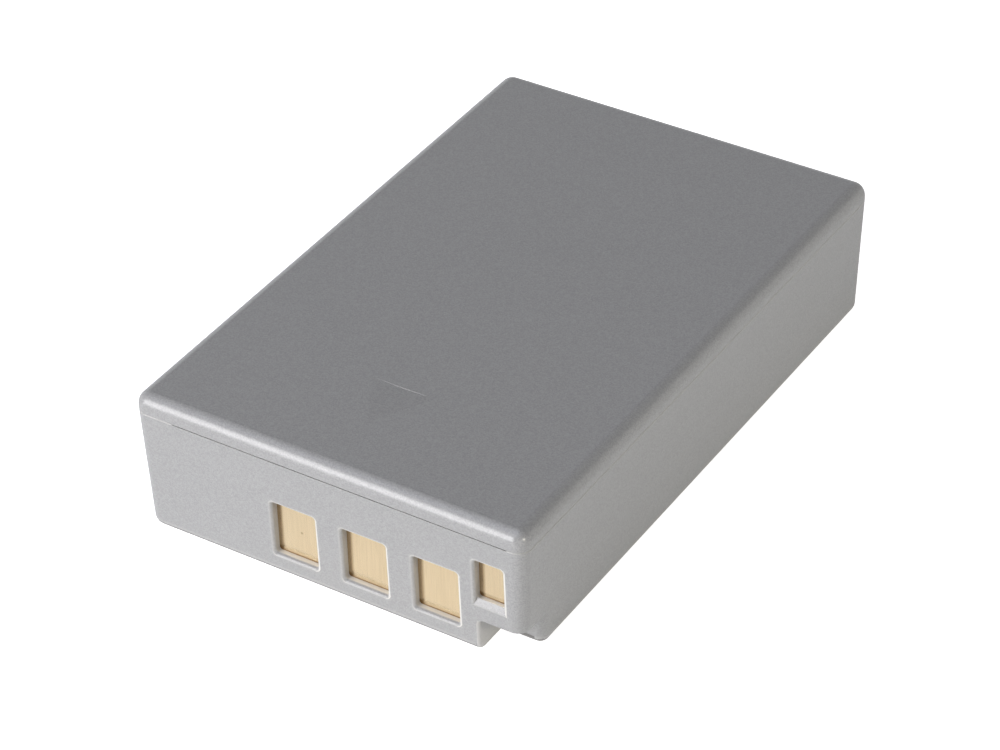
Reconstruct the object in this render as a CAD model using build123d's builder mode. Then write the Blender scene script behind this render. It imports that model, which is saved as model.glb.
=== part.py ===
"""Flat camera battery: a welded two-shell housing round two lithium cells and a protection board.

Millimetres. X is the width, Y the length with the contact end at -Y, and Z is up.
The origin is at the middle of the underside.
"""

import os
from math import radians, tan

from build123d import *

os.makedirs("parts", exist_ok=True)

# Housing, outside
body_width = 35.5
body_length = 55.0
body_height = 12.8
lid_height = 1.62
corner_radius = 1.16
top_edge_radius = 1.15
floor_edge_radius = 0.85
side_draft = 2.05
end_draft = 1.3
lip_radius = 0.08

# Housing, inside
front_wall = 0.85
side_wall = 1.0
rear_wall = 1.0
floor_thickness = 0.7
lid_thickness = 0.7
cavity_corner_radius = 0.5

# Weld joint between case and lid
rabbet_width = 0.45
tongue_depth = 0.7
tongue_clearance = 0.05
seam_gap = 0.05
seam_left_inset = 3.7
seam_right_inset = 1.5

# Key notch in the lower right corner of the contact end
notch_width = 4.25
notch_depth = 3.15
notch_height = 3.12
notch_wall = 0.7
notch_rim_radius = 0.3
notch_rear_radius = 0.8
notch_inner_radius = 0.3

# Contact windows
window_width = 3.95
window_height = 5.0
window_pitch = 6.45
window_bottom = 2.03
window_inset = 8.02
window_corner_radius = 0.25
window_rim_radius = 0.3
small_window_inset = 3.25
small_window_width = 2.5
small_window_bottom = 5.15
small_window_height = 3.8
sill_bevel_depth = 0.35
sill_bevel_drop = 0.55

# Insertion arrow on the lid
arrow_width = 5.8
arrow_length = 5.0
arrow_base_y = -16.3
arrow_depth = 0.08

# Contact plates
contact_thickness = 0.35
contact_margin = 0.5
contact_corner = 0.25
contact_edge = 0.08

# Protection board
board_thickness = 0.8
board_clearance = 0.2
board_corner_radius = 0.4
guide_rib_width = 0.9
guide_rib_thickness = 0.6
guide_rib_clearance = 0.05

# Cells and what holds them
cell_space = 2.6
cell_side_clearance = 0.15
cell_corner_radius = 1.6
cell_rear_radius = 0.5
cell_rim_chamfer = 0.2
terminal_width = 5.0
terminal_height = 2.2
terminal_rise = 0.5
gasket_border = 0.6
gasket_rise = 0.15
weld_pad_x = 11.0
weld_pad_width = 4.0
floor_tape_thickness = 0.1
cell_tape_thickness = 0.15
lid_pad_thickness = 0.2
rear_pad_thickness = 0.5
film_border = 0.6
insulator_thickness = 0.12
insulator_border = 0.4

# Straps
strap_thickness = 0.15
strap_width = 2.6
strap_bend_radius = 0.3
strap_foot = 1.8
strap_run = 1.2
strap_tap_run = 1.0

# Components on the board
chip_length = 3.0
chip_height = 3.0
chip_rise = 1.0
transistor_length = 4.4
transistor_height = 3.0
transistor_rise = 1.0
package_chamfer = 0.15
lead_count = 4
lead_width = 0.3
lead_length = 0.6
lead_rise = 0.2
small_chip_length = 1.6
small_chip_height = 0.8
resistor_rise = 0.45
capacitor_rise = 0.8
small_chip_pitch = 1.5
terminal_cap = 0.3
cap_step = 0.04
chip_x = -7.5
chip_above_middle = 2.2
transistor_x = -4.5
transistor_below_middle = 2.8
thermistor_x = 10.5
thermistor_above_middle = 2.6
resistor_x = -10.2
resistor_count = 4
capacitor_x = 1.2
capacitor_count = 3
first_chip_below_middle = 4.5

# Places worked out from the sizes above
parting_z = body_height - lid_height
rabbet_depth = tongue_depth + tongue_clearance
front_y = -body_length / 2
rear_y = body_length / 2
cavity_front_y = front_y + front_wall
cavity_rear_y = rear_y - rear_wall
cavity_width = body_width - 2 * side_wall
cavity_length = cavity_rear_y - cavity_front_y
cavity_centre_y = (cavity_front_y + cavity_rear_y) / 2
ceiling_z = body_height - lid_thickness
notch_rear_y = front_y + notch_depth
notch_left_x = body_width / 2 - notch_width
notch_centre_y = front_y + notch_depth / 2
notch_centre_z = notch_height / 2
notch_top_z = notch_height + notch_wall
end_lean = tan(radians(end_draft))
side_lean = tan(radians(side_draft))
contact_rear_y = cavity_front_y + contact_thickness
board_rear_y = contact_rear_y + board_thickness
cell_front_y = board_rear_y + cell_space
cell_rear_y = cavity_rear_y - rear_pad_thickness
cell_width = cavity_width - 2 * cell_side_clearance
stack_height = ceiling_z - floor_thickness
board_middle_z = (floor_thickness + ceiling_z) / 2
cell_height = (stack_height - floor_tape_thickness - cell_tape_thickness - lid_pad_thickness) / 2
lower_cell_base = floor_thickness + floor_tape_thickness
upper_cell_base = lower_cell_base + cell_height + cell_tape_thickness
lower_cell_z = lower_cell_base + cell_height / 2
upper_cell_z = upper_cell_base + cell_height / 2
weld_y = cell_front_y - terminal_rise
guide_rib_top_z = parting_z - rabbet_depth - 2 * tongue_clearance
window_centres = [body_width / 2 - window_inset - window_pitch * number for number in (2, 1, 0)]
small_window_x = body_width / 2 - small_window_inset
window_centre_z = window_bottom + window_height / 2
small_window_z = small_window_bottom + small_window_height / 2

front_plane = Plane.XZ.offset(-front_y)
parting_plane = Plane.XY.offset(parting_z)
board_rear_plane = Plane.XZ.offset(-board_rear_y)


def wall_y(z):
    """Y of the drafted front wall's outer face at a height."""
    return front_y + (parting_z - z) * end_lean


def side_x(z):
    """X of the drafted right wall's outer face at a height."""
    return body_width / 2 - (parting_z - z) * side_lean


# Case: drafted tray with a keyed corner, windows, a rabbet for the lid and guides for the board
with BuildPart() as case:
    with BuildSketch(parting_plane):
        Rectangle(body_width, body_length)
    extrude(amount=-parting_z)
    draft(case.faces().filter_by(Axis.X), neutral_plane=parting_plane, angle=-side_draft)
    draft(case.faces().filter_by(Axis.Y), neutral_plane=parting_plane, angle=-end_draft)
    fillet(case.edges().group_by(Axis.Z)[1], radius=corner_radius)
    fillet(case.faces().sort_by(Axis.Z)[0].edges(), radius=floor_edge_radius)

    # Key notch
    with BuildSketch(Plane.XY):
        with Locations((notch_left_x, notch_rear_y)):
            Rectangle(2 * notch_width, 2 * notch_depth, align=(Align.MIN, Align.MAX))
    extrude(amount=notch_height, mode=Mode.SUBTRACT)
    notch_edges = [
        (Vector(notch_left_x, notch_centre_y, notch_height), notch_inner_radius),
        (Vector(side_x(notch_centre_z), notch_rear_y, notch_centre_z), notch_rear_radius),
        (Vector(notch_left_x, wall_y(notch_centre_z), notch_centre_z), notch_rim_radius),
    ]
    for point, radius in notch_edges:
        fillet(case.edges().sort_by_distance(point)[0], radius=radius)

    # Cavity, stepped round the notch walls
    with BuildSketch(Plane.XY.offset(floor_thickness)):
        with Locations((0, cavity_centre_y)):
            RectangleRounded(cavity_width, cavity_length, cavity_corner_radius)
        with Locations((notch_left_x - notch_wall, notch_rear_y + notch_wall)):
            Rectangle(
                2 * notch_width, 2 * notch_depth, align=(Align.MIN, Align.MAX), mode=Mode.SUBTRACT
            )
    extrude(amount=notch_top_z - floor_thickness, mode=Mode.SUBTRACT)
    with BuildSketch(Plane.XY.offset(notch_top_z)):
        with Locations((0, cavity_centre_y)):
            RectangleRounded(cavity_width, cavity_length, cavity_corner_radius)
    extrude(amount=parting_z - notch_top_z, mode=Mode.SUBTRACT)

    # Rabbet round the rim, for the lid's tongue
    with BuildSketch(parting_plane):
        with Locations((0, cavity_centre_y)):
            RectangleRounded(
                cavity_width + 2 * rabbet_width,
                cavity_length + 2 * rabbet_width,
                cavity_corner_radius + rabbet_width,
            )
    extrude(amount=-rabbet_depth, mode=Mode.SUBTRACT)

    # Windows, the small one with a bevelled sill
    with BuildSketch(front_plane):
        with Locations([(x, window_centre_z) for x in window_centres]):
            RectangleRounded(window_width, window_height, window_corner_radius)
        with Locations((small_window_x, small_window_z)):
            RectangleRounded(small_window_width, small_window_height, window_corner_radius)
    extrude(amount=-2 * front_wall, mode=Mode.SUBTRACT)
    sill_front_y = wall_y(small_window_bottom)
    with BuildSketch(Plane.YZ.offset(small_window_x)):
        with BuildLine():
            Polyline(
                (sill_front_y - sill_bevel_depth, small_window_bottom - 2 * sill_bevel_drop),
                (sill_front_y + sill_bevel_depth, small_window_bottom),
                (sill_front_y + sill_bevel_depth, small_window_bottom + window_corner_radius),
                (sill_front_y - sill_bevel_depth, small_window_bottom + window_corner_radius),
                close=True,
            )
        make_face()
    extrude(amount=small_window_width / 2, both=True, mode=Mode.SUBTRACT)
    outer_front = case.faces().filter_by(GeomType.PLANE).sort_by(Axis.Y)[0]
    fillet([edge for wire in outer_front.inner_wires() for edge in wire.edges()], radius=window_rim_radius)

    # Guide ribs that hold the board against the contact plates, the right one above the notch
    rib_front_y = board_rear_y + guide_rib_clearance
    for side, rib_foot_z in ((-1, floor_thickness), (1, notch_top_z)):
        with BuildSketch(Plane.XY.offset(rib_foot_z)):
            with Locations((side * (cavity_width - guide_rib_width + side_wall / 2) / 2, rib_front_y)):
                Rectangle(
                    guide_rib_width + side_wall / 2, guide_rib_thickness, align=(Align.CENTER, Align.MIN)
                )
        extrude(amount=guide_rib_top_z - rib_foot_z)

    # Softened lip at the parting line, set back along the contact end where the seam stands open
    fillet(case.faces().sort_by(Axis.Z)[-1].outer_wire().edges(), radius=lip_radius)
    with BuildSketch(parting_plane):
        with Locations((seam_left_inset - body_width / 2, front_y)):
            Rectangle(
                body_width - seam_left_inset - seam_right_inset,
                2 * front_wall,
                align=(Align.MIN, Align.CENTER),
            )
    extrude(amount=-seam_gap, mode=Mode.SUBTRACT)
case.part.label = "case"

# Arrow recess: a scoop, deepest at the middle of its base and running out at its other two sides
with BuildPart() as arrow_recess:
    with BuildSketch(Plane.XZ.offset(-arrow_base_y)) as arrow_base:
        with BuildLine():
            Polyline(
                (-arrow_width / 2, body_height),
                (arrow_width / 2, body_height),
                (0, body_height - arrow_depth),
                close=True,
            )
        make_face()
    arrow_tip = Vertex(0, arrow_base_y - arrow_length, body_height)
    loft(sections=[arrow_base.sketch.face(), arrow_tip])

# Lid: shallow cap that stands on the case's rim, with a tongue in the rabbet and a recessed arrow
with BuildPart() as lid:
    with BuildSketch(parting_plane):
        RectangleRounded(body_width, body_length, corner_radius)
    extrude(amount=lid_height)
    fillet(lid.faces().sort_by(Axis.Z)[-1].edges(), radius=top_edge_radius)
    fillet(lid.faces().sort_by(Axis.Z)[0].edges(), radius=lip_radius)
    with BuildSketch(parting_plane):
        with Locations((0, cavity_centre_y)):
            RectangleRounded(
                cavity_width + 2 * (rabbet_width - tongue_clearance),
                cavity_length + 2 * (rabbet_width - tongue_clearance),
                cavity_corner_radius + rabbet_width - tongue_clearance,
            )
    extrude(amount=-tongue_depth)
    with BuildSketch(parting_plane.offset(-tongue_depth)):
        with Locations((0, cavity_centre_y)):
            RectangleRounded(cavity_width, cavity_length, cavity_corner_radius)
    extrude(amount=ceiling_z - parting_z + tongue_depth, mode=Mode.SUBTRACT)
    add(arrow_recess.part, mode=Mode.SUBTRACT)
lid.part.label = "lid"


def contact_plate(x, z, width, height):
    """Gold plated contact soldered to the board, clamped behind one window."""
    with BuildPart() as plate:
        with BuildSketch(Plane.XZ.offset(-contact_rear_y)) as blank:
            with Locations((x, z)):
                Rectangle(width + 2 * contact_margin, height + 2 * contact_margin)
            chamfer(blank.vertices(), length=contact_corner)
        extrude(amount=contact_thickness)
        chamfer(plate.faces().sort_by(Axis.Y)[0].edges(), length=contact_edge)
    return plate.part


plates = {
    "contact_plate_left": contact_plate(window_centres[0], window_centre_z, window_width, window_height),
    "contact_plate_middle": contact_plate(window_centres[1], window_centre_z, window_width, window_height),
    "contact_plate_right": contact_plate(window_centres[2], window_centre_z, window_width, window_height),
    "contact_plate_small": contact_plate(
        small_window_x, small_window_z, small_window_width, small_window_height
    ),
}

# Protection board: stands behind the plates, cut away over the notch
with BuildPart() as protection_board:
    board_right_x = cavity_width / 2 - board_clearance
    board_foot_z = floor_thickness + board_clearance
    board_top_z = ceiling_z - board_clearance
    board_step_x = notch_left_x - notch_wall - board_clearance
    board_step_z = notch_top_z + board_clearance
    with BuildSketch(board_rear_plane) as board_outline:
        with BuildLine():
            Polyline(
                (-board_right_x, board_foot_z),
                (board_step_x, board_foot_z),
                (board_step_x, board_step_z),
                (board_right_x, board_step_z),
                (board_right_x, board_top_z),
                (-board_right_x, board_top_z),
                close=True,
            )
        make_face()
        fillet(board_outline.vertices(), radius=board_corner_radius)
    extrude(amount=board_thickness)
protection_board.part.label = "protection_board"


def leaded_package(x, z, length, height, rise):
    """Moulded chip on the back of the board, with a row of leads down each side."""
    with BuildPart() as package:
        with BuildSketch(board_rear_plane):
            with Locations((x, z)):
                Rectangle(length, height)
        extrude(amount=-rise)
        chamfer(package.faces().sort_by(Axis.Y)[-1].edges(), length=package_chamfer)
        with BuildSketch(board_rear_plane):
            with Locations((x, z)):
                with GridLocations(0, height / lead_count, 1, lead_count):
                    Rectangle(length + 2 * lead_length, lead_width)
        extrude(amount=-lead_rise)
    return package.part


def small_chips(places, rise):
    """Group of small two-ended chips on the back of the board."""
    with BuildPart() as chips:
        with BuildSketch(board_rear_plane):
            with Locations(places):
                Rectangle(small_chip_length, small_chip_height - 2 * cap_step)
        extrude(amount=cap_step - rise)
        with BuildSketch(board_rear_plane):
            with Locations(places):
                with GridLocations(small_chip_length - terminal_cap, 0, 2, 1):
                    Rectangle(terminal_cap, small_chip_height)
        extrude(amount=-rise)
    return chips.part


first_chip_z = board_middle_z - first_chip_below_middle
components = {
    "protection_chip": leaded_package(
        chip_x, board_middle_z + chip_above_middle, chip_length, chip_height, chip_rise
    ),
    "switch_transistor": leaded_package(
        transistor_x,
        board_middle_z - transistor_below_middle,
        transistor_length,
        transistor_height,
        transistor_rise,
    ),
    "thermistor": small_chips([(thermistor_x, board_middle_z + thermistor_above_middle)], capacitor_rise),
    "chip_resistors": small_chips(
        [(resistor_x, first_chip_z + small_chip_pitch * number) for number in range(resistor_count)],
        resistor_rise,
    ),
    "chip_capacitors": small_chips(
        [(capacitor_x, first_chip_z + small_chip_pitch * number) for number in range(capacitor_count)],
        capacitor_rise,
    ),
}


def sealed_cell(centre_z, weld_pad_side):
    """Sealed flat can, with its insulated terminal and its weld pad at the contact end."""
    cell_end = Plane.XZ.offset(-cell_front_y)
    with BuildPart() as can:
        with BuildSketch(cell_end):
            with Locations((0, centre_z)):
                RectangleRounded(cell_width, cell_height, cell_corner_radius)
        extrude(amount=cell_front_y - cell_rear_y)
        fillet(can.faces().sort_by(Axis.Y)[-1].edges(), radius=cell_rear_radius)
        chamfer(can.faces().sort_by(Axis.Y)[0].edges(), length=cell_rim_chamfer)
        with BuildSketch(cell_end):
            with Locations((0, centre_z)):
                Rectangle(terminal_width + 2 * gasket_border, terminal_height + 2 * gasket_border)
        extrude(amount=gasket_rise)
        with BuildSketch(cell_end):
            with Locations((0, centre_z)):
                Rectangle(terminal_width, terminal_height)
            with Locations((weld_pad_side * weld_pad_x, centre_z)):
                Rectangle(weld_pad_width, terminal_height)
        extrude(amount=terminal_rise)
    return can.part


cells = {
    "lower_cell": sealed_cell(lower_cell_z, 1),
    "upper_cell": sealed_cell(upper_cell_z, -1),
}

# Cell insulator: paper sheet over both cell ends, cut out round the terminals and weld pads
with BuildPart() as cell_insulator:
    with BuildSketch(Plane.XZ.offset(-cell_front_y)):
        with Locations((0, (lower_cell_z + upper_cell_z) / 2)):
            Rectangle(
                cell_width - 2 * insulator_border,
                upper_cell_z - lower_cell_z + cell_height - 2 * insulator_border,
            )
        gasket_hole_width = terminal_width + 2 * gasket_border + 2 * insulator_border
        gasket_hole_height = terminal_height + 2 * gasket_border + 2 * insulator_border
        with Locations((0, lower_cell_z), (0, upper_cell_z)):
            Rectangle(gasket_hole_width, gasket_hole_height, mode=Mode.SUBTRACT)
        with Locations((weld_pad_x, lower_cell_z), (-weld_pad_x, upper_cell_z)):
            Rectangle(
                weld_pad_width + 2 * insulator_border,
                terminal_height + 2 * insulator_border,
                mode=Mode.SUBTRACT,
            )
    extrude(amount=insulator_thickness)
cell_insulator.part.label = "cell_insulator"

# Straps: folded nickel strip, welded to the cells and soldered to the back of the board
strap_weld_y = weld_y - strap_thickness / 2
strap_foot_y = board_rear_y + strap_thickness / 2


def folded_strip(weld_x, fold_x, foot_x, centre_z):
    """Strip that runs from a weld to its fold, forward to the board and along its foot."""
    with BuildPart() as strip:
        with BuildSketch(Plane.XY.offset(centre_z - strap_width / 2)):
            with BuildLine():
                FilletPolyline(
                    (weld_x, strap_weld_y),
                    (fold_x, strap_weld_y),
                    (fold_x, strap_foot_y),
                    (foot_x, strap_foot_y),
                    radius=strap_bend_radius,
                )
            trace(line_width=strap_thickness)
        extrude(amount=strap_width)
    return strip.part


positive_fold_x = weld_pad_x - weld_pad_width / 2 - strap_run
negative_fold_x = terminal_width / 2 + strap_run
tap_fold_x = -weld_pad_x - strap_width / 2 - strap_tap_run
straps = {
    "positive_strap": folded_strip(
        weld_pad_x, positive_fold_x, positive_fold_x - strap_foot, lower_cell_z
    ),
    "negative_strap": folded_strip(0, negative_fold_x, negative_fold_x + strap_foot, upper_cell_z),
}

with BuildPart() as series_strap:
    with BuildSketch(Plane.XZ.offset(-weld_y)):
        with BuildLine():
            Polyline((0, lower_cell_z), (-weld_pad_x, lower_cell_z), (-weld_pad_x, upper_cell_z))
        trace(line_width=strap_width)
    extrude(amount=strap_thickness)
    add(folded_strip(-weld_pad_x, tap_fold_x, tap_fold_x + strap_foot, (lower_cell_z + upper_cell_z) / 2))
series_strap.part.label = "series_strap"


def film(base_z, thickness):
    """Flat film or pad on the flat of the cells."""
    with BuildPart() as sheet:
        with BuildSketch(Plane.XY.offset(base_z)):
            with Locations((0, (cell_front_y + cell_rear_y) / 2)):
                Rectangle(
                    cell_width - 2 * cell_corner_radius - 2 * film_border,
                    cell_rear_y - cell_front_y - 2 * cell_rear_radius - 2 * film_border,
                )
        extrude(amount=thickness)
    return sheet.part


films = {
    "floor_tape": film(floor_thickness, floor_tape_thickness),
    "cell_tape": film(lower_cell_base + cell_height, cell_tape_thickness),
    "lid_pad": film(upper_cell_base + cell_height, lid_pad_thickness),
}

# Rear pad: foam between the cells and the rear wall
with BuildPart() as rear_pad:
    with BuildSketch(Plane.XZ.offset(-cell_rear_y)):
        with Locations((0, (lower_cell_z + upper_cell_z) / 2)):
            Rectangle(
                cell_width - 2 * cell_corner_radius - 2 * film_border,
                upper_cell_z - lower_cell_z + cell_height - 2 * cell_corner_radius,
            )
    extrude(amount=-rear_pad_thickness)
rear_pad.part.label = "rear_pad"

for group in (plates, components, cells, straps, films):
    for name, piece in group.items():
        piece.label = name
        export_step(piece, f"parts/{name}.step")

export_step(case.part, "parts/case.step")
export_step(lid.part, "parts/lid.step")
export_step(protection_board.part, "parts/protection_board.step")
export_step(cell_insulator.part, "parts/cell_insulator.step")
export_step(series_strap.part, "parts/series_strap.step")
export_step(rear_pad.part, "parts/rear_pad.step")
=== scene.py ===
"""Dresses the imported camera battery: housing, contacts, the pieces inside, floor, light and camera."""

import math

import bmesh
import bpy
from mathutils import Matrix, Vector


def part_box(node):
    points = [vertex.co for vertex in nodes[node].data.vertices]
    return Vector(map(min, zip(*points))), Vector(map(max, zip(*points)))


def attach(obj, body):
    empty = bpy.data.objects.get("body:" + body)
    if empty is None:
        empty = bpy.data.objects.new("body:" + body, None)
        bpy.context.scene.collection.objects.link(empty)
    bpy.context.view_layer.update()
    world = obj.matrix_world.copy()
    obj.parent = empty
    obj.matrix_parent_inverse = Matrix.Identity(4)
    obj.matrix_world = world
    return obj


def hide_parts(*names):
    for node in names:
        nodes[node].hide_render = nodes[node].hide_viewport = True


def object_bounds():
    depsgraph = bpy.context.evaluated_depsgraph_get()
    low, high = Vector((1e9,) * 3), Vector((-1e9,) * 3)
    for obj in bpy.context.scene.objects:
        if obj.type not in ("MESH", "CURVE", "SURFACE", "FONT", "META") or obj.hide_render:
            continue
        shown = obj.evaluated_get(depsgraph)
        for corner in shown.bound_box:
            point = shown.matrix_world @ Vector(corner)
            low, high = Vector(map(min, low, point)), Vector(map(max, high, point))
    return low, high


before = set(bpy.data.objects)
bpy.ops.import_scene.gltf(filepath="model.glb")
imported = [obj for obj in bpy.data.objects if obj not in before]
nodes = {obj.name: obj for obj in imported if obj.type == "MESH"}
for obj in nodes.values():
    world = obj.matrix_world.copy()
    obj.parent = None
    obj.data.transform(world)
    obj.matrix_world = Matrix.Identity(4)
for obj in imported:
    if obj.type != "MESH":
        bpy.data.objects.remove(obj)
cad_low, cad_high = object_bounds()

# Units
MM = 0.001

# Camera, as the photograph was taken
CAMERA_AZIMUTH = 32.941
CAMERA_ELEVATION = 36.359
CAMERA_ROLL = -1.62
CAMERA_DISTANCE = 286.088 * MM
CAMERA_LENS = 126.868
CAMERA_SENSOR = 36.0
CAMERA_AIM = Vector((-0.475, -1.851, 4.641)) * MM

# Light, as radiance; the sweep's top and fade are degrees above the horizon
SWEEP_RADIANCE = 0.94
CEILING_RADIANCE = 0.0
SWEEP_TOP = 23.0
SWEEP_FADE = 12.0
BACKDROP_RADIANCE = 0.95
FLOOR_GLOW = 0.255
FLOOR_LIFT = 0.65
FLOOR_TONE = 0.85
FLOOR_ROUGHNESS = 0.9
FLOOR_SPECULAR = 0.1
FLOOR_SIZE = 1.6

# Softboxes: name, azimuth and elevation in degrees, distance, width and height in metres, radiance, colour
WARM_TINT = (1.07, 1.0, 0.85)
SOFTBOXES = (
    ("key_softbox", -28.6, 23.0, 0.55, 0.32, 0.32, 8.2, (1.01, 1.0, 1.02)),
    ("top_softbox", -30.0, 74.0, 0.7, 0.5, 0.5, 1.32, (0.93, 1.0, 1.2)),
    ("fill_softbox", 58.0, 18.0, 0.8, 0.6, 0.45, 0.21, WARM_TINT),
    ("spark_softbox", 78.2, 24.4, 0.8, 0.07, 0.07, 84.0, WARM_TINT),
)

# Smooth shading of the copied solids
MERGE_DISTANCE = 0.0005 * MM
SHARP_ANGLE = math.radians(34)
FLAT_ANGLE = math.radians(0.2)

# Housing plastic
PLASTIC_DARK = (0.289, 0.289, 0.289)
PLASTIC_LIGHT = (0.362, 0.362, 0.362)
PLASTIC_GLINT = (0.385, 0.385, 0.385)
GLINT_SHARE = 0.003
FLAKES_PER_METRE = 11000.0
GRAIN_PER_METRE = 4200.0
GRAIN_DEPTH = 0.006 * MM
PLASTIC_METALLIC = 0.05
PLASTIC_SPECULAR = 0.36
PLASTIC_ROUGHNESS = (0.32, 0.38)
PLASTIC_COAT = 0.25
PLASTIC_COAT_ROUGHNESS = 0.18

# Gold of the contacts
GOLD_DARK = (0.674, 0.534, 0.336)
GOLD_LIGHT = (0.828, 0.682, 0.462)
GOLD_ROUGHNESS = (0.16, 0.28)
GOLD_LINES = {"Across_X": 16000.0, "Across_Y": 400.0, "Across_Z": 400.0}
GOLD_LINE_DEPTH = 0.002 * MM

# Dull finishes: dark tone, light tone, roughness, flakes and grain per metre, and how deep the grain is
DULL_FINISHES = {
    "board_laminate": ((0.016, 0.12, 0.05), (0.03, 0.19, 0.085), 0.4, 6000.0, 3000.0, 0.01 * MM),
    "chip_resin": ((0.015, 0.015, 0.016), (0.035, 0.035, 0.037), 0.55, 9000.0, 7000.0, 0.01 * MM),
    "chip_ceramic": ((0.36, 0.28, 0.19), (0.48, 0.38, 0.27), 0.5, 9000.0, 6000.0, 0.006 * MM),
    "insulating_paper": ((0.52, 0.45, 0.32), (0.68, 0.61, 0.46), 0.85, 5000.0, 2600.0, 0.02 * MM),
    "adhesive_film": ((0.74, 0.74, 0.70), (0.84, 0.84, 0.80), 0.5, 4000.0, 900.0, 0.01 * MM),
    "dark_foam": ((0.03, 0.03, 0.03), (0.085, 0.085, 0.085), 0.95, 5000.0, 3500.0, 0.06 * MM),
}
DULL_ROUGHNESS_SPREAD = 0.06

# Bare metals: dark tone, light tone, roughness, and how fast the lines change along each axis, per metre
METAL_FINISHES = {
    "cell_can": (
        (0.66, 0.67, 0.69), (0.78, 0.79, 0.81), 0.34,
        {"Across_X": 9000.0, "Across_Y": 120.0, "Across_Z": 9000.0},
    ),
    "strap_nickel": (
        (0.58, 0.56, 0.52), (0.72, 0.70, 0.66), 0.36,
        {"Across_X": 300.0, "Across_Y": 9000.0, "Across_Z": 9000.0},
    ),
}
METAL_ROUGHNESS_SPREAD = 0.07
METAL_LINE_DEPTH = 0.003 * MM
CLOUDS_PER_METRE = 700.0

# Finish of each node that keeps its own solid
INNER_FINISHES = {
    "protection_board": "board_laminate",
    "protection_chip": "chip_resin",
    "switch_transistor": "chip_resin",
    "thermistor": "chip_ceramic",
    "chip_resistors": "chip_ceramic",
    "chip_capacitors": "chip_ceramic",
    "lower_cell": "cell_can",
    "upper_cell": "cell_can",
    "positive_strap": "strap_nickel",
    "negative_strap": "strap_nickel",
    "series_strap": "strap_nickel",
    "cell_insulator": "insulating_paper",
    "cell_tape": "adhesive_film",
    "floor_tape": "adhesive_film",
    "lid_pad": "dark_foam",
    "rear_pad": "dark_foam",
}

# Painted light and shade laid over the plastic: above 0 towards the painted highlight colour, below 0
# towards the painted shade colour
PAINTED_LIGHT_ATTRIBUTE = "painted_light_and_shade"
PAINTED_HIGHLIGHT_COLOUR = (0.66, 0.645, 0.61)
PAINTED_SHADE_COLOUR = (0.05, 0.042, 0.036)

# Glow on the front wall round the windows, kept to what faces the front
GLOW_REACH = 0.5 * MM
GLOW_TONE = 0.18
GLOW_FACING = (0.75, 0.98)

# Window walls: painted light at the front and at the contact by the way a wall faces; on a sill less, with
# painted shade
RIM_REACH = 0.15 * MM
SILL_REACH = 0.3 * MM
LEFT_FACING_PAINTED_LIGHT = (0.9, 0.9)
RIGHT_FACING_PAINTED_LIGHT = (0.05, 0.3)
UP_FACING_PAINTED_LIGHT = (0.9, 0.75)
DOWN_FACING_PAINTED_LIGHT = (0.5, 0.0)
LEAST_SIDEWAYS = 0.1
SILL_FADE = 1.8
SILL_PAINTED_SHADE = 0.8

# Painted highlight on the lips along the parting line, and painted shade on the arrow's slope on top, by
# how much a face points up
LIP_REACH = 0.085 * MM
LIP_FACING = (0.1, 0.97)
LIP_PAINTED_HIGHLIGHT = 0.27
ARROW_REACH = 0.1 * MM
ARROW_FACING = (0.99, 0.99998)
ARROW_PAINTED_SHADE = -0.045

# Key notch: the box it lies in, painted light on its upright wall and painted shade on the foot of its rear
# wall
NOTCH_WIDTH = 4.7 * MM
NOTCH_DEPTH = 3.5 * MM
NOTCH_HEIGHT = 3.3 * MM
NOTCH_SIDE = 1.3 * MM
NOTCH_WALL_FACING = 0.2
NOTCH_WALL_PAINTED_LIGHT = 0.4
NOTCH_REAR_FACING = 0.3
NOTCH_FOOT_HEIGHT = 1.2 * MM
NOTCH_FOOT_PAINTED_SHADE = -0.6

# Bottom edge: painted light where its rounding starts, painted shade that darkens the more it points down
FLOOR_EDGE = 0.9 * MM
FLOOR_EDGE_STARTS = 0.05
FLOOR_EDGE_DARKENS = 0.3
FLOOR_EDGE_PAINTED_LIGHT = 0.16
FLOOR_EDGE_SLOPE = 1.1
FLOOR_EDGE_PAINTED_SHADE_LIMIT = -0.55

# Shade on the contacts from the window's lower left corner: where it starts and ends to fade, and strength
PLACE_ATTRIBUTE = "in_window"
PLATE_MARGIN = 0.5 * MM
SHADE_COLOUR = (0.26, 0.14, 0.05)
LEFT_SHADE = (0.36 * MM, 0.6 * MM, 0.5)
SILL_SHADE = (0.06 * MM, 0.17 * MM, 0.8)
CORNER_SHADE = (0.25 * MM, 0.8 * MM, 0.92)
SPECK_PLACE = Vector((-2.92, 0.0, 4.44)) * MM
SPECK_RADIUS = 0.17 * MM
SPECK_STRENGTH = 0.6

# Weld spots on the straps: place across and above the middle of the cell they join, in mm, and that cell
STRAP_THICKNESS = 0.15 * MM
WELD_PLACES = (
    (10.0, 0.0, "lower_cell"),
    (0.9, 0.0, "upper_cell"),
    (-0.9, 0.0, "lower_cell"),
    (-11.0, -0.95, "upper_cell"),
)
WELD_VALUES = {
    "Spot Radius": 0.28 * MM,
    "Spot Rise": 0.03 * MM,
    "Spread X": 0.9 * MM,
    "Spread Z": 1.2 * MM,
    "Seed": 7,
}
SPOT_SEGMENTS = 16
SPOT_RINGS = 8
SPOT_SIZES = (0.85, 1.1)

HOUSING = ("case", "lid")
CONTACTS = ("contact_plate_left", "contact_plate_middle", "contact_plate_right", "contact_plate_small")


# Shader helpers


def add_node(tree, kind, **settings):
    """New node in a tree, with its properties set."""
    node = tree.nodes.new(kind)
    for name, value in settings.items():
        setattr(node, name, value)
    return node


def join(tree, source, target):
    """Links an output socket to an input socket."""
    tree.links.new(source, target)


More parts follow.
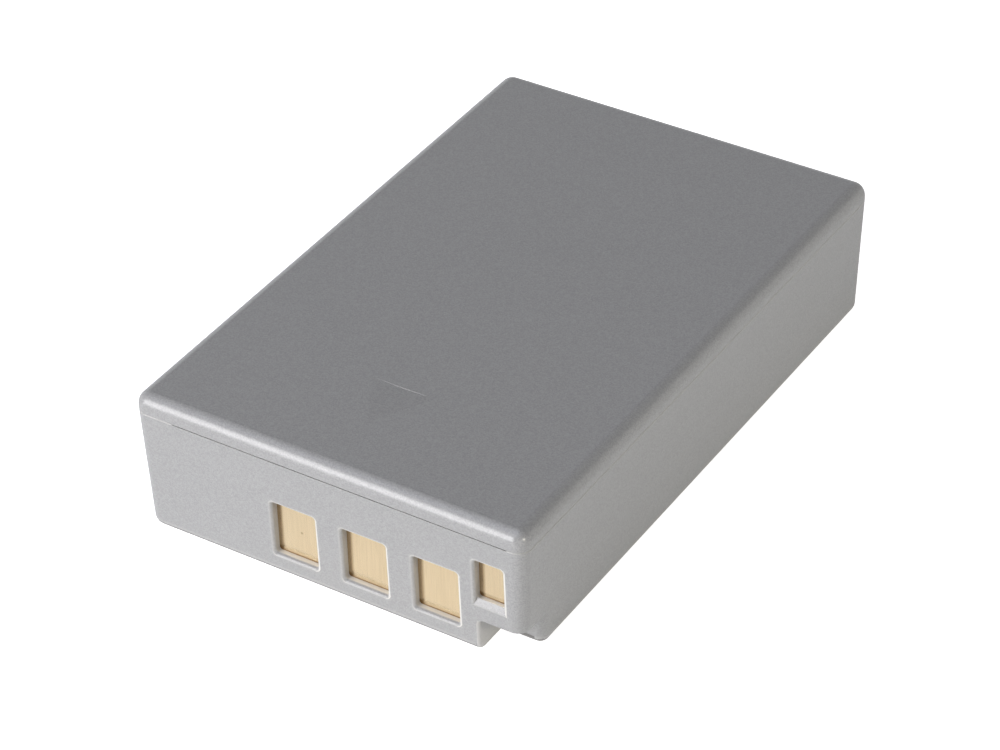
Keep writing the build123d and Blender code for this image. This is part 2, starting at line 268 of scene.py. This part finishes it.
def start_group(name, inputs, outputs):
    """New shader node group with named float inputs and outputs, and its two end nodes."""
    group = bpy.data.node_groups.new(name, "ShaderNodeTree")
    for label, value in inputs:
        socket = group.interface.new_socket(name=label, in_out="INPUT", socket_type="NodeSocketFloat")
        socket.default_value = value
    for label in outputs:
        group.interface.new_socket(name=label, in_out="OUTPUT", socket_type="NodeSocketFloat")
    return group, add_node(group, "NodeGroupInput"), add_node(group, "NodeGroupOutput")


def start_material(name):
    """New node material, with its tree and its Principled shader."""
    material = bpy.data.materials.new(name)
    material.use_nodes = True
    return material, material.node_tree, material.node_tree.nodes["Principled BSDF"]


def place_group(tree, group, **values):
    """Puts a shared group into a material, with this material's own values."""
    node = add_node(tree, "ShaderNodeGroup", node_tree=group)
    for label, value in values.items():
        node.inputs[label.replace("_", " ")].default_value = value
    return node


def tint_between(tree, mask, low, high):
    """Colour that goes from one to another with a mask."""
    mix = add_node(tree, "ShaderNodeMix", data_type="RGBA")
    mix.inputs["A"].default_value = (*low, 1.0)
    mix.inputs["B"].default_value = (*high, 1.0)
    join(tree, mask, mix.inputs["Factor"])
    return mix.outputs["Result"]


def tint_over(tree, mask, under, colour):
    """Colour laid over another where a mask says."""
    mix = add_node(tree, "ShaderNodeMix", data_type="RGBA")
    mix.inputs["B"].default_value = (*colour, 1.0)
    join(tree, mask, mix.inputs["Factor"])
    join(tree, under, mix.inputs["A"])
    return mix.outputs["Result"]


def value_between(tree, mask, low, high):
    """Number that goes from one to another with a mask."""
    scale = add_node(tree, "ShaderNodeMapRange")
    scale.inputs["To Min"].default_value = low
    scale.inputs["To Max"].default_value = high
    join(tree, mask, scale.inputs["Value"])
    return scale.outputs["Result"]


def rough_up(tree, shader, height, depth, strength):
    """Bump on a shader, with its depth as a real size."""
    bump = add_node(tree, "ShaderNodeBump")
    bump.inputs["Strength"].default_value = strength
    bump.inputs["Distance"].default_value = depth
    join(tree, height, bump.inputs["Height"])
    join(tree, bump.outputs["Normal"], shader.inputs["Normal"])


# Shared effects


def make_speckle():
    """Flakes in the plastic: a tone for each flake, a rare glint, and a fine moulded grain."""
    group, start, end = start_group(
        "flake_speckle",
        [("Flakes Per Metre", 10000.0), ("Grain Per Metre", 5000.0), ("Glint Share", 0.01)],
        ["Tone", "Glint", "Grain"],
    )
    place = add_node(group, "ShaderNodeTexCoord")
    cells = add_node(group, "ShaderNodeTexVoronoi", feature="F1")
    split = add_node(group, "ShaderNodeSeparateColor")
    limit = add_node(group, "ShaderNodeMath", operation="SUBTRACT")
    limit.inputs[0].default_value = 1.0
    glint = add_node(group, "ShaderNodeMath", operation="GREATER_THAN")
    grain = add_node(group, "ShaderNodeTexNoise")
    grain.inputs["Detail"].default_value = 3.0
    for texture, rate in ((cells, "Flakes Per Metre"), (grain, "Grain Per Metre")):
        join(group, place.outputs["Object"], texture.inputs["Vector"])
        join(group, start.outputs[rate], texture.inputs["Scale"])
    join(group, cells.outputs["Color"], split.inputs["Color"])
    join(group, start.outputs["Glint Share"], limit.inputs[1])
    join(group, split.outputs["Green"], glint.inputs[0])
    join(group, limit.outputs["Value"], glint.inputs[1])
    join(group, split.outputs["Red"], end.inputs["Tone"])
    join(group, glint.outputs["Value"], end.inputs["Glint"])
    join(group, grain.outputs["Fac"], end.inputs["Grain"])
    return group


def make_brushing():
    """Fine rolled or brushed lines: how fast the pattern changes is set for each axis."""
    group, start, end = start_group(
        "brushed_lines",
        [("Across X", 16000.0), ("Across Y", 16000.0), ("Across Z", 600.0)],
        ["Lines", "Cloud"],
    )
    place = add_node(group, "ShaderNodeTexCoord")
    rates = add_node(group, "ShaderNodeCombineXYZ")
    stretch = add_node(group, "ShaderNodeVectorMath", operation="MULTIPLY")
    lines = add_node(group, "ShaderNodeTexNoise")
    lines.inputs["Scale"].default_value = 1.0
    lines.inputs["Detail"].default_value = 2.0
    cloud = add_node(group, "ShaderNodeTexNoise")
    cloud.inputs["Scale"].default_value = CLOUDS_PER_METRE
    for axis in "XYZ":
        join(group, start.outputs["Across " + axis], rates.inputs[axis])
    join(group, place.outputs["Object"], stretch.inputs[0])
    join(group, rates.outputs["Vector"], stretch.inputs[1])
    join(group, stretch.outputs["Vector"], lines.inputs["Vector"])
    join(group, place.outputs["Object"], cloud.inputs["Vector"])
    join(group, lines.outputs["Fac"], end.inputs["Lines"])
    join(group, cloud.outputs["Fac"], end.inputs["Cloud"])
    return group


def make_shade():
    """Shade on a contact: lines along its left wall and its sill, and a spot in the corner between them."""
    group, start, end = start_group("corner_shade", [("From Left", 0.0), ("Above Sill", 0.0)], ["Shade"])
    corner = add_node(group, "ShaderNodeCombineXYZ")
    reach = add_node(group, "ShaderNodeVectorMath", operation="LENGTH")
    join(group, start.outputs["From Left"], corner.inputs["X"])
    join(group, start.outputs["Above Sill"], corner.inputs["Y"])
    join(group, corner.outputs["Vector"], reach.inputs[0])
    fades = (
        (start.outputs["From Left"], LEFT_SHADE),
        (start.outputs["Above Sill"], SILL_SHADE),
        (reach.outputs["Value"], CORNER_SHADE),
    )
    total = None
    for distance, (near, far, strength) in fades:
        fade = add_node(group, "ShaderNodeMapRange", interpolation_type="SMOOTHSTEP")
        fade.inputs["From Min"].default_value = near
        fade.inputs["From Max"].default_value = far
        fade.inputs["To Min"].default_value = strength
        fade.inputs["To Max"].default_value = 0.0
        join(group, distance, fade.inputs["Value"])
        if total is None:
            total = fade.outputs["Result"]
            continue
        larger = add_node(group, "ShaderNodeMath", operation="MAXIMUM")
        join(group, total, larger.inputs[0])
        join(group, fade.outputs["Result"], larger.inputs[1])
        total = larger.outputs["Value"]
    join(group, total, end.inputs["Shade"])
    return group


def make_glow():
    """Glow round a window in the front wall, 1 at its edge and fading outward."""
    sizes = ["Centre X", "Centre Z", "Half Width", "Half Height"]
    group, start, end = start_group("window_glow", [(label, 0.001) for label in sizes], ["Glow"])
    here = add_node(group, "ShaderNodeTexCoord")
    split = add_node(group, "ShaderNodeSeparateXYZ")
    outside = add_node(group, "ShaderNodeCombineXYZ")
    reach = add_node(group, "ShaderNodeVectorMath", operation="LENGTH")
    fade = add_node(group, "ShaderNodeMapRange", interpolation_type="SMOOTHSTEP")
    fade.inputs["From Max"].default_value = GLOW_REACH
    fade.inputs["To Min"].default_value = 1.0
    fade.inputs["To Max"].default_value = 0.0
    join(group, here.outputs["Object"], split.inputs["Vector"])
    for axis, centre, half in (("X", "Centre X", "Half Width"), ("Z", "Centre Z", "Half Height")):
        offset = add_node(group, "ShaderNodeMath", operation="SUBTRACT")
        size = add_node(group, "ShaderNodeMath", operation="ABSOLUTE")
        beyond = add_node(group, "ShaderNodeMath", operation="SUBTRACT")
        clipped = add_node(group, "ShaderNodeMath", operation="MAXIMUM")
        clipped.inputs[1].default_value = 0.0
        join(group, split.outputs[axis], offset.inputs[0])
        join(group, start.outputs[centre], offset.inputs[1])
        join(group, offset.outputs["Value"], size.inputs[0])
        join(group, size.outputs["Value"], beyond.inputs[0])
        join(group, start.outputs[half], beyond.inputs[1])
        join(group, beyond.outputs["Value"], clipped.inputs[0])
        join(group, clipped.outputs["Value"], outside.inputs[axis])
    join(group, outside.outputs["Vector"], reach.inputs[0])
    join(group, reach.outputs["Value"], fade.inputs["Value"])
    join(group, fade.outputs["Result"], end.inputs["Glow"])
    return group


speckle = make_speckle()
brushing = make_brushing()
glowing = make_glow()
shading = make_shade()


# Finishes


def front_glow(tree):
    """Glow round all the windows, kept to what faces the contact end."""
    here = add_node(tree, "ShaderNodeTexCoord")
    facing = add_node(tree, "ShaderNodeVectorMath", operation="DOT_PRODUCT")
    facing.inputs[1].default_value = (0.0, -1.0, 0.0)
    front = add_node(tree, "ShaderNodeMapRange", interpolation_type="SMOOTHSTEP")
    front.inputs["From Min"].default_value = GLOW_FACING[0]
    front.inputs["From Max"].default_value = GLOW_FACING[1]
    join(tree, here.outputs["Normal"], facing.inputs[0])
    join(tree, facing.outputs["Value"], front.inputs["Value"])
    widest = None
    for plate in CONTACTS:
        low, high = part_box(plate)
        middle = (low + high) / 2
        half = (high - low) / 2 - Vector((PLATE_MARGIN, 0.0, PLATE_MARGIN))
        glow = place_group(
            tree, glowing, Centre_X=middle.x, Centre_Z=middle.z, Half_Width=half.x, Half_Height=half.z
        ).outputs["Glow"]
        if widest is None:
            widest = glow
            continue
        larger = add_node(tree, "ShaderNodeMath", operation="MAXIMUM")
        join(tree, widest, larger.inputs[0])
        join(tree, glow, larger.inputs[1])
        widest = larger.outputs["Value"]
    kept = add_node(tree, "ShaderNodeMath", operation="MULTIPLY")
    join(tree, front.outputs["Result"], kept.inputs[0])
    join(tree, widest, kept.inputs[1])
    return kept.outputs["Value"]


def silver_plastic():
    """Satin silver-grey moulded plastic with fine metal flakes in it, with painted light and shade laid
    over its colour.
    """
    material, tree, shader = start_material("silver_plastic")
    flakes = place_group(
        tree, speckle,
        Flakes_Per_Metre=FLAKES_PER_METRE, Grain_Per_Metre=GRAIN_PER_METRE, Glint_Share=GLINT_SHARE,
    )
    toned = tint_between(tree, flakes.outputs["Tone"], PLASTIC_DARK, PLASTIC_LIGHT)
    glinting = tint_over(tree, flakes.outputs["Glint"], toned, PLASTIC_GLINT)
    # Painted highlights and painted shade: the attribute and the glow round the windows lay light and dark
    # colour over the flakes
    edge = add_node(tree, "ShaderNodeAttribute", attribute_name=PAINTED_LIGHT_ATTRIBUTE)
    tone = add_node(tree, "ShaderNodeMath", operation="MULTIPLY_ADD")
    tone.inputs[1].default_value = GLOW_TONE
    below = add_node(tree, "ShaderNodeMath", operation="MULTIPLY")
    below.inputs[1].default_value = -1.0
    join(tree, front_glow(tree), tone.inputs[0])
    join(tree, edge.outputs["Fac"], tone.inputs[2])
    join(tree, tone.outputs["Value"], below.inputs[0])
    lighter = tint_over(tree, tone.outputs["Value"], glinting, PAINTED_HIGHLIGHT_COLOUR)
    join(tree, tint_over(tree, below.outputs["Value"], lighter, PAINTED_SHADE_COLOUR), shader.inputs["Base Color"])
    shader.inputs["Metallic"].default_value = PLASTIC_METALLIC
    shader.inputs["Specular IOR Level"].default_value = PLASTIC_SPECULAR
    shader.inputs["Coat Weight"].default_value = PLASTIC_COAT
    shader.inputs["Coat Roughness"].default_value = PLASTIC_COAT_ROUGHNESS
    join(tree, value_between(tree, flakes.outputs["Grain"], *PLASTIC_ROUGHNESS), shader.inputs["Roughness"])
    rough_up(tree, shader, flakes.outputs["Grain"], GRAIN_DEPTH, strength=0.5)
    return material


def speck_mask(tree):
    """Small soft dot on the left contact."""
    here = add_node(tree, "ShaderNodeTexCoord")
    flat = add_node(tree, "ShaderNodeVectorMath", operation="MULTIPLY")
    flat.inputs[1].default_value = (1.0, 0.0, 1.0)
    gap = add_node(tree, "ShaderNodeVectorMath", operation="DISTANCE")
    gap.inputs[1].default_value = SPECK_PLACE
    dot = add_node(tree, "ShaderNodeMapRange", interpolation_type="SMOOTHSTEP")
    dot.inputs["From Max"].default_value = SPECK_RADIUS
    dot.inputs["To Min"].default_value = SPECK_STRENGTH
    dot.inputs["To Max"].default_value = 0.0
    join(tree, here.outputs["Object"], flat.inputs[0])
    join(tree, flat.outputs["Vector"], gap.inputs[0])
    join(tree, gap.outputs["Value"], dot.inputs["Value"])
    return dot.outputs["Result"]


def contact_gold():
    """Bright gold plating, brushed upright."""
    material, tree, shader = start_material("contact_gold")
    brushed = place_group(tree, brushing, **GOLD_LINES)
    tone = tint_between(tree, brushed.outputs["Lines"], GOLD_DARK, GOLD_LIGHT)
    place = add_node(tree, "ShaderNodeAttribute", attribute_name=PLACE_ATTRIBUTE)
    split = add_node(tree, "ShaderNodeSeparateXYZ")
    shade = place_group(tree, shading)
    join(tree, place.outputs["Vector"], split.inputs["Vector"])
    join(tree, split.outputs["X"], shade.inputs["From Left"])
    join(tree, split.outputs["Z"], shade.inputs["Above Sill"])
    shaded = tint_over(tree, shade.outputs["Shade"], tone, SHADE_COLOUR)
    join(tree, tint_over(tree, speck_mask(tree), shaded, SHADE_COLOUR), shader.inputs["Base Color"])
    shader.inputs["Metallic"].default_value = 1.0
    join(tree, value_between(tree, brushed.outputs["Lines"], *GOLD_ROUGHNESS), shader.inputs["Roughness"])
    rough_up(tree, shader, brushed.outputs["Lines"], GOLD_LINE_DEPTH, strength=0.3)
    return material


def brushed_metal(name, dark, light, roughness, across):
    """Bare metal with lines along one axis, for the cell cans and the straps."""
    material, tree, shader = start_material(name)
    brushed = place_group(tree, brushing, **across)
    join(tree, tint_between(tree, brushed.outputs["Lines"], dark, light), shader.inputs["Base Color"])
    shader.inputs["Metallic"].default_value = 1.0
    low = roughness - METAL_ROUGHNESS_SPREAD
    high = roughness + METAL_ROUGHNESS_SPREAD
    join(tree, value_between(tree, brushed.outputs["Cloud"], low, high), shader.inputs["Roughness"])
    rough_up(tree, shader, brushed.outputs["Lines"], METAL_LINE_DEPTH, strength=0.4)
    return material


def grainy(name, dark, light, roughness, flakes_per_metre, grain_per_metre, depth):
    """Dull material with its own grain: laminate, resin, paper, film or foam."""
    material, tree, shader = start_material(name)
    grains = place_group(
        tree, speckle, Flakes_Per_Metre=flakes_per_metre, Grain_Per_Metre=grain_per_metre, Glint_Share=0.0
    )
    join(tree, tint_between(tree, grains.outputs["Grain"], dark, light), shader.inputs["Base Color"])
    low = roughness - DULL_ROUGHNESS_SPREAD
    high = roughness + DULL_ROUGHNESS_SPREAD
    join(tree, value_between(tree, grains.outputs["Tone"], low, high), shader.inputs["Roughness"])
    rough_up(tree, shader, grains.outputs["Grain"], depth, strength=0.6)
    return material


# Housing and contacts: the solids' own form, merged and shaded smooth


def flat_regions(shape):
    """Number and area of the flat region that each face lies in."""
    region_of = {}
    areas = []
    for seed in shape.faces:
        if seed in region_of:
            continue
        region_of[seed] = len(areas)
        waiting = [seed]
        area = 0.0
        while waiting:
            face = waiting.pop()
            area += face.calc_area()
            for edge in face.edges:
                for other in edge.link_faces:
                    if other not in region_of and other.normal.angle(seed.normal, 0.0) < FLAT_ANGLE:
                        region_of[other] = len(areas)
                        waiting.append(other)
        areas.append(area)
    return region_of, areas


def corner_normal(face, vertex, region_of, areas):
    """Normal of a face's corner: flat regions keep theirs, and roundings blend between neighbours."""
    seen = set()
    total = Vector()
    for other in vertex.link_faces:
        if region_of[other] in seen or other.normal.angle(face.normal, 0.0) > SHARP_ANGLE:
            continue
        seen.add(region_of[other])
        total += other.normal * areas[region_of[other]] ** 2
    return total.normalized() if total.length else face.normal.copy()


def smooth_copy(node, material):
    """Piece with a node's form, its loose triangles merged and its roundings shaded smooth."""
    mesh = nodes[node].data.copy()
    mesh.name = node + "_dressed"
    shape = bmesh.new()
    shape.from_mesh(mesh)
    bmesh.ops.remove_doubles(shape, verts=shape.verts, dist=MERGE_DISTANCE)
    bmesh.ops.dissolve_degenerate(shape, edges=shape.edges, dist=MERGE_DISTANCE)
    shape.normal_update()
    region_of, areas = flat_regions(shape)
    normals = [
        corner_normal(face, loop.vert, region_of, areas) for face in shape.faces for loop in face.loops
    ]
    shape.to_mesh(mesh)
    shape.free()
    mesh.shade_smooth()
    mesh.normals_split_custom_set(normals)
    mesh.materials.clear()
    mesh.materials.append(material)
    piece = bpy.data.objects.new(node + "_dressed", mesh)
    bpy.context.scene.collection.objects.link(piece)
    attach(piece, "root")
    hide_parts(node)
    return piece


def window_frames():
    """Box in front of each contact plate that holds its window's walls and rim."""
    frames = []
    for plate in CONTACTS:
        low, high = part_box(plate)
        low += Vector((RIM_REACH, 0.0, RIM_REACH - SILL_REACH))
        high -= Vector((RIM_REACH, 0.0, RIM_REACH))
        frames.append((low, high))
    return frames


def painted_wall_light(normal, depth):
    """Painted light and shade on a window's wall, by how it faces and how deep it is, 0 at the front and 1
    at the contact.
    """
    sides = (
        (max(-normal.x, 0.0), *LEFT_FACING_PAINTED_LIGHT),
        (max(normal.x, 0.0), *RIGHT_FACING_PAINTED_LIGHT),
        (max(normal.z, 0.0), *UP_FACING_PAINTED_LIGHT),
        (max(-normal.z, 0.0), *DOWN_FACING_PAINTED_LIGHT),
    )
    total = sum(weight for weight, outer, inner in sides)
    if total < LEAST_SIDEWAYS:
        return 0.0
    tone = sum(weight * (outer + (inner - outer) * depth) for weight, outer, inner in sides) / total
    # Painted shade where a face slopes up towards the front, as on a sill's rounding
    upward = max(normal.z, 0.0) * max(-normal.y, 0.0)
    return tone * (1.0 - SILL_FADE * upward) - SILL_PAINTED_SHADE * upward


def painted_notch_light(normal, height):
    """Painted light and shade in the key notch: painted light on its upright wall, painted shade low down
    on its rear wall.
    """
    if normal.x > NOTCH_WALL_FACING:
        return NOTCH_WALL_PAINTED_LIGHT
    if normal.y < -NOTCH_REAR_FACING and height < NOTCH_FOOT_HEIGHT:
        return NOTCH_FOOT_PAINTED_SHADE
    return 0.0


def painted_floor_edge_light(normal):
    """Painted light and shade along the bottom edge."""
    if normal.z < -FLOOR_EDGE_DARKENS:
        return max(FLOOR_EDGE_SLOPE * normal.z, FLOOR_EDGE_PAINTED_SHADE_LIMIT)
    return FLOOR_EDGE_PAINTED_LIGHT


def painted_shell_light(normal, spot, parting):
    """Painted light and shade of a face outside the windows: notch, bottom edge, arrow, lips along the
    parting line.
    """
    from_side = cad_high.x - spot.x
    in_notch_depth = spot.y < cad_low.y + NOTCH_DEPTH and spot.z < NOTCH_HEIGHT
    if in_notch_depth and NOTCH_SIDE < from_side < NOTCH_WIDTH:
        return painted_notch_light(normal, spot.z)
    if spot.z < FLOOR_EDGE and normal.z < -FLOOR_EDGE_STARTS:
        return painted_floor_edge_light(normal)
    # Painted shade on the arrow's slope
    if ARROW_FACING[0] < normal.z < ARROW_FACING[1] and spot.z > cad_high.z - ARROW_REACH:
        return ARROW_PAINTED_SHADE
    # Painted highlight on the lips along the parting line
    outward = spot.x * normal.x + spot.y * normal.y > 0.0
    if outward and abs(spot.z - parting) < LIP_REACH and LIP_FACING[0] < abs(normal.z) < LIP_FACING[1]:
        return LIP_PAINTED_HIGHLIGHT
    return 0.0


def in_frame(spot, low, high):
    """Whether a point lies in front of a contact plate and inside its frame."""
    return low.x < spot.x < high.x and low.z < spot.z < high.z and spot.y < low.y


def mark_painted_light(piece, frames, parting):
    """Attribute with the painted light and shade of the window walls and of the housing's edges."""
    mesh = piece.data
    window_depth = frames[0][0].y - cad_low.y
    mark = mesh.attributes.new(PAINTED_LIGHT_ATTRIBUTE, "FLOAT", "CORNER")
    for face in mesh.polygons:
        is_wall = any(in_frame(face.center, low, high) for low, high in frames)
        tone = painted_shell_light(face.normal, face.center, parting)
        for corner in face.loop_indices:
            if is_wall:
                back = mesh.vertices[mesh.loops[corner].vertex_index].co.y - cad_low.y
                tone = painted_wall_light(face.normal, back / window_depth)
            mark.data[corner].value = tone


def mark_place(piece, plate):
    """Attribute with the place on a contact, from its window's lower left corner."""
    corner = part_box(plate)[0] + Vector((PLATE_MARGIN, 0.0, PLATE_MARGIN))
    place = piece.data.attributes.new(PLACE_ATTRIBUTE, "FLOAT_VECTOR", "POINT")
    for vertex in piece.data.vertices:
        place.data[vertex.index].vector = vertex.co - corner


def dress(node, material):
    """Gives a node that keeps its own solid a finish."""
    mesh = nodes[node].data
    mesh.materials.clear()
    mesh.materials.append(material)


plastic = silver_plastic()
gold = contact_gold()
shells = {name: smooth_copy(name, plastic) for name in HOUSING}
# Painted light and shade on the housing's window walls, lips, arrow, notch and bottom edge
for shell in shells.values():
    mark_painted_light(shell, window_frames(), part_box("case")[1].z)
for name in CONTACTS:
    mark_place(smooth_copy(name, gold), name)

finishes = {name: grainy(name, *values) for name, values in DULL_FINISHES.items()}
finishes.update((name, brushed_metal(name, *values)) for name, values in METAL_FINISHES.items())
for name, finish in INNER_FINISHES.items():
    dress(name, finishes[finish])


# Weld spots on the straps


def weld_tree():
    """Node tree that puts a two by two set of shallow weld spots at each point of a mesh."""
    tree = bpy.data.node_groups.new("weld_spots", "GeometryNodeTree")
    tree.interface.new_socket(name="Geometry", in_out="INPUT", socket_type="NodeSocketGeometry")
    for label, value in WELD_VALUES.items():
        kind = "NodeSocketInt" if isinstance(value, int) else "NodeSocketFloat"
        tree.interface.new_socket(name=label, in_out="INPUT", socket_type=kind)
    tree.interface.new_socket(name="Geometry", in_out="OUTPUT", socket_type="NodeSocketGeometry")
    start = add_node(tree, "NodeGroupInput")
    end = add_node(tree, "NodeGroupOutput")
    grid = add_node(tree, "GeometryNodeMeshGrid")
    grid.inputs["Vertices X"].default_value = 2
    grid.inputs["Vertices Y"].default_value = 2
    upright = add_node(tree, "GeometryNodeTransform")
    upright.inputs["Rotation"].default_value = (math.pi / 2, 0.0, 0.0)
    ball = add_node(tree, "GeometryNodeMeshUVSphere")
    ball.inputs["Segments"].default_value = SPOT_SEGMENTS
    ball.inputs["Rings"].default_value = SPOT_RINGS
    ball.inputs["Radius"].default_value = 1.0
    size = add_node(tree, "ShaderNodeCombineXYZ")
    dome = add_node(tree, "GeometryNodeTransform")
    spread = add_node(tree, "FunctionNodeRandomValue", data_type="FLOAT")
    spread.inputs[2].default_value = SPOT_SIZES[0]
    spread.inputs[3].default_value = SPOT_SIZES[1]
    spots = add_node(tree, "GeometryNodeInstanceOnPoints")
    welds = add_node(tree, "GeometryNodeInstanceOnPoints")
    solid = add_node(tree, "GeometryNodeRealizeInstances")
    finish = add_node(tree, "GeometryNodeSetMaterial")
    finish.inputs["Material"].default_value = finishes["strap_nickel"]
    join(tree, start.outputs["Spread X"], grid.inputs["Size X"])
    join(tree, start.outputs["Spread Z"], grid.inputs["Size Y"])
    join(tree, grid.outputs["Mesh"], upright.inputs["Geometry"])
    for axis, label in (("X", "Spot Radius"), ("Y", "Spot Rise"), ("Z", "Spot Radius")):
        join(tree, start.outputs[label], size.inputs[axis])
    join(tree, size.outputs["Vector"], dome.inputs["Scale"])
    join(tree, ball.outputs["Mesh"], dome.inputs["Geometry"])
    join(tree, start.outputs["Seed"], spread.inputs["Seed"])
    join(tree, upright.outputs["Geometry"], spots.inputs["Points"])
    join(tree, dome.outputs["Geometry"], spots.inputs["Instance"])
    join(tree, spread.outputs[1], spots.inputs["Scale"])
    join(tree, start.outputs["Geometry"], welds.inputs["Points"])
    join(tree, spots.outputs["Instances"], welds.inputs["Instance"])
    join(tree, welds.outputs["Instances"], solid.inputs["Geometry"])
    join(tree, solid.outputs["Geometry"], finish.inputs["Geometry"])
    join(tree, finish.outputs["Geometry"], end.inputs["Geometry"])
    return tree


def weld_spots():
    """Piece with the weld spots, where the straps lie on the cells."""
    places = []
    for across, above, cell in WELD_PLACES:
        low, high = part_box(cell)
        places.append((across * MM, low.y - STRAP_THICKNESS, (low.z + high.z) / 2 + above * MM))
    mesh = bpy.data.meshes.new("weld_places")
    mesh.from_pydata(places, [], [])
    piece = bpy.data.objects.new("strap_welds", mesh)
    bpy.context.scene.collection.objects.link(piece)
    tree = weld_tree()
    modifier = piece.modifiers.new("weld_spots", "NODES")
    modifier.node_group = tree
    for item in tree.interface.items_tree:
        if item.in_out == "INPUT" and item.name in WELD_VALUES:
            modifier[item.identifier] = WELD_VALUES[item.name]
    graph = bpy.context.evaluated_depsgraph_get()
    solid = bpy.data.meshes.new_from_object(piece.evaluated_get(graph))
    piece.modifiers.remove(modifier)
    piece.data = solid
    solid.shade_smooth()
    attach(piece, "root")


weld_spots()


# Floor, light and camera


def direction(azimuth, elevation):
    """Unit vector out from the object, azimuth 0 at the contact end and growing to the right."""
    a = math.radians(azimuth)
    e = math.radians(elevation)
    return Vector((math.sin(a) * math.cos(e), -math.cos(a) * math.cos(e), math.sin(e)))


def softbox(name, azimuth, elevation, distance, width, height, radiance, tint):
    """Rectangular soft light that faces the object."""
    light = bpy.data.lights.new(name, "AREA")
    light.shape = "RECTANGLE"
    light.size = width
    light.size_y = height
    light.color = tint
    light.energy = radiance * math.pi * width * height
    lamp = bpy.data.objects.new(name, light)
    lamp.location = CAMERA_AIM + direction(azimuth, elevation) * distance
    lamp.rotation_euler = direction(azimuth, elevation).to_track_quat("Z", "Y").to_euler()
    bpy.context.scene.collection.objects.link(lamp)


def white_floor():
    """Plain pale floor, lifted towards white where it is seen directly, so that shadows stay faint."""
    half = FLOOR_SIZE / 2
    mesh = bpy.data.meshes.new("floor")
    corners = [(-half, -half, 0), (half, -half, 0), (half, half, 0), (-half, half, 0)]
    mesh.from_pydata(corners, [], [(0, 1, 2, 3)])
    material, tree, shader = start_material("white_floor")
    shader.inputs["Base Color"].default_value = (FLOOR_TONE, FLOOR_TONE, FLOOR_TONE, 1.0)
    shader.inputs["Roughness"].default_value = FLOOR_ROUGHNESS
    shader.inputs["Specular IOR Level"].default_value = FLOOR_SPECULAR
    shader.inputs["Emission Color"].default_value = (1.0, 1.0, 1.0, 1.0)
    seen = add_node(tree, "ShaderNodeLightPath").outputs["Is Camera Ray"]
    glow = value_between(tree, seen, FLOOR_GLOW, FLOOR_GLOW + FLOOR_LIFT)
    join(tree, glow, shader.inputs["Emission Strength"])
    mesh.materials.append(material)
    floor = bpy.data.objects.new("floor", mesh)
    bpy.context.scene.collection.objects.link(floor)


def studio_sky():
    """White sweep low round the object under a dark ceiling, pale where it is seen directly."""
    world = bpy.data.worlds.new("studio")
    world.use_nodes = True
    tree = world.node_tree
    tree.nodes.clear()
    path = add_node(tree, "ShaderNodeLightPath")
    place = add_node(tree, "ShaderNodeTexCoord")
    split = add_node(tree, "ShaderNodeSeparateXYZ")
    rise = add_node(tree, "ShaderNodeMapRange", interpolation_type="SMOOTHSTEP")
    rise.inputs["From Min"].default_value = math.sin(math.radians(SWEEP_TOP - SWEEP_FADE))
    rise.inputs["From Max"].default_value = math.sin(math.radians(SWEEP_TOP + SWEEP_FADE))
    rise.inputs["To Min"].default_value = SWEEP_RADIANCE
    rise.inputs["To Max"].default_value = CEILING_RADIANCE
    dim = add_node(tree, "ShaderNodeBackground")
    join(tree, place.outputs["Generated"], split.inputs["Vector"])
    join(tree, split.outputs["Z"], rise.inputs["Value"])
    join(tree, rise.outputs["Result"], dim.inputs["Strength"])
    dim.inputs["Color"].default_value = (1.0, 1.0, 1.0, 1.0)
    pale = add_node(tree, "ShaderNodeBackground")
    pale.inputs["Color"].default_value = (BACKDROP_RADIANCE, BACKDROP_RADIANCE, BACKDROP_RADIANCE, 1.0)
    mix = add_node(tree, "ShaderNodeMixShader")
    output = add_node(tree, "ShaderNodeOutputWorld")
    join(tree, path.outputs["Is Camera Ray"], mix.inputs["Fac"])
    join(tree, dim.outputs["Background"], mix.inputs[1])
    join(tree, pale.outputs["Background"], mix.inputs[2])
    join(tree, mix.outputs["Shader"], output.inputs["Surface"])
    bpy.context.scene.world = world


def make_camera():
    """Camera at the photograph's angle."""
    back = direction(CAMERA_AZIMUTH, CAMERA_ELEVATION)
    level_right = Vector((0, 0, 1)).cross(back).normalized()
    level_up = back.cross(level_right)
    turn = math.radians(CAMERA_ROLL)
    right = level_right * math.cos(turn) + level_up * math.sin(turn)
    up = level_up * math.cos(turn) - level_right * math.sin(turn)
    data = bpy.data.cameras.new("camera")
    data.lens = CAMERA_LENS
    data.sensor_width = CAMERA_SENSOR
    data.clip_start = 0.01
    data.clip_end = 10.0
    camera = bpy.data.objects.new("camera", data)
    pose = Matrix((right, up, back)).transposed().to_4x4()
    pose.translation = CAMERA_AIM + back * CAMERA_DISTANCE
    camera.matrix_world = pose
    bpy.context.scene.collection.objects.link(camera)
    bpy.context.scene.camera = camera


white_floor()
studio_sky()
for values in SOFTBOXES:
    softbox(*values)
make_camera()
bpy.context.scene.view_settings.view_transform = "Standard"
